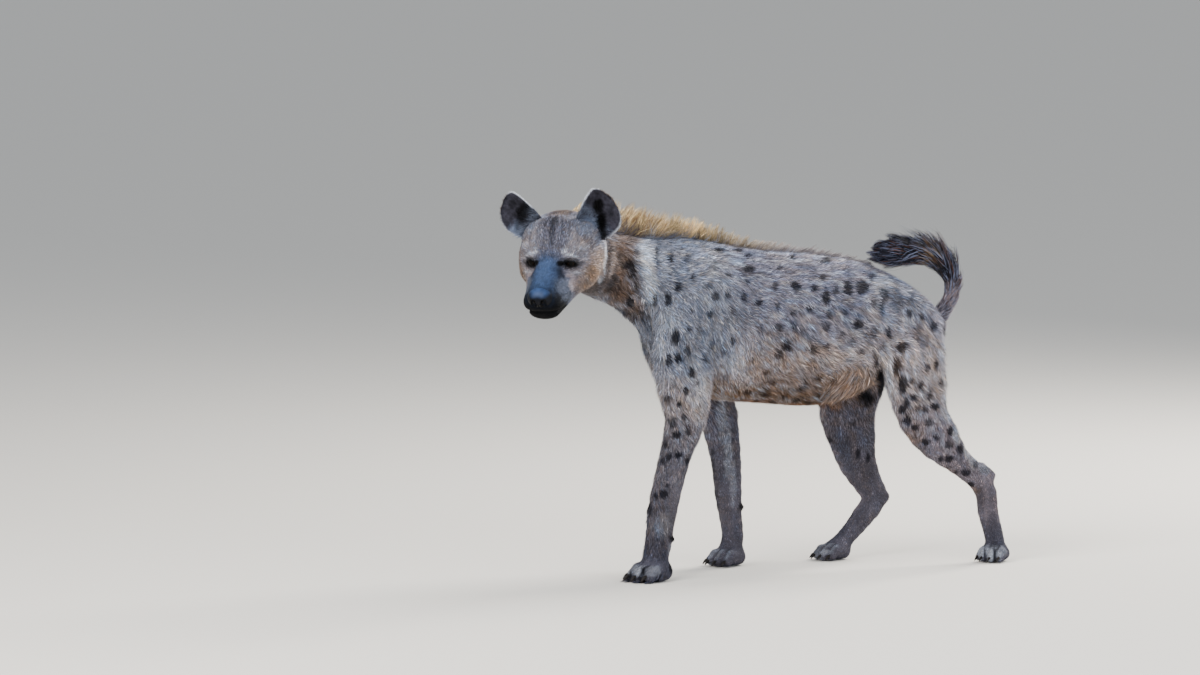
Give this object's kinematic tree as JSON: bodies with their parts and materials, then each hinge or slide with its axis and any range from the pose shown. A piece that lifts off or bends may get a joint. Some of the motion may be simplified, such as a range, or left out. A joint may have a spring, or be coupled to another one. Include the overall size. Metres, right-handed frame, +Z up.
{
  "type": "spotted hyena",
  "caption": "Life-size still model of a spotted hyena in a walking stance, head turned to its left, with a crest along the nape and a tufted tail curled over the rump.",
  "frame": {"origin": "under the middle of the model's bounding box, at the level of its soles", "axes": "+X from the head to the rump, +Y to the animal's right, +Z up"},
  "size_m": [1.3146, 0.4274, 0.907],
  "materials": {
    "coat": "short coarse fur",
    "leg_coat": "short flat fur",
    "tail_hair": "long coarse hair",
    "ear": "thin fur on skin",
    "muzzle": "very short fur",
    "nose": "moist and pebbled",
    "claw": "worn horn",
    "eye": "wet and dark"
  },
  "bodies": {
    "root": {"tail_base": "coat", "tail_bend": "tail_hair", "tail_tuft": "tail_hair", "torso": "coat", "neck": "coat", "foreleg_left_upper": "coat", "foreleg_left_lower": "leg_coat", "foreleg_left_paw": "leg_coat", "foreleg_left_claw_outer": "claw", "foreleg_left_claw_second": "claw", "foreleg_left_claw_third": "claw", "foreleg_left_claw_inner": "claw", "hindleg_left_upper": "coat", "hindleg_left_lower": "leg_coat", "hindleg_left_paw": "leg_coat", "hindleg_left_claw_outer": "claw", "hindleg_left_claw_second": "claw", "hindleg_left_claw_third": "claw", "hindleg_left_claw_inner": "claw", "foreleg_right_upper": "coat", "foreleg_right_lower": "leg_coat", "foreleg_right_paw": "leg_coat", "foreleg_right_claw_outer": "claw", "foreleg_right_claw_second": "claw", "foreleg_right_claw_third": "claw", "foreleg_right_claw_inner": "claw", "hindleg_right_upper": "coat", "hindleg_right_lower": "leg_coat", "hindleg_right_paw": "leg_coat", "hindleg_right_claw_outer": "claw", "hindleg_right_claw_second": "claw", "hindleg_right_claw_third": "claw", "hindleg_right_claw_inner": "claw", "eye_left": "eye", "eye_right": "eye", "nose": "nose", "lower_jaw": "muzzle", "head": "coat", "ear_left": "ear", "ear_right": "ear"}
  },
  "joints": []
}
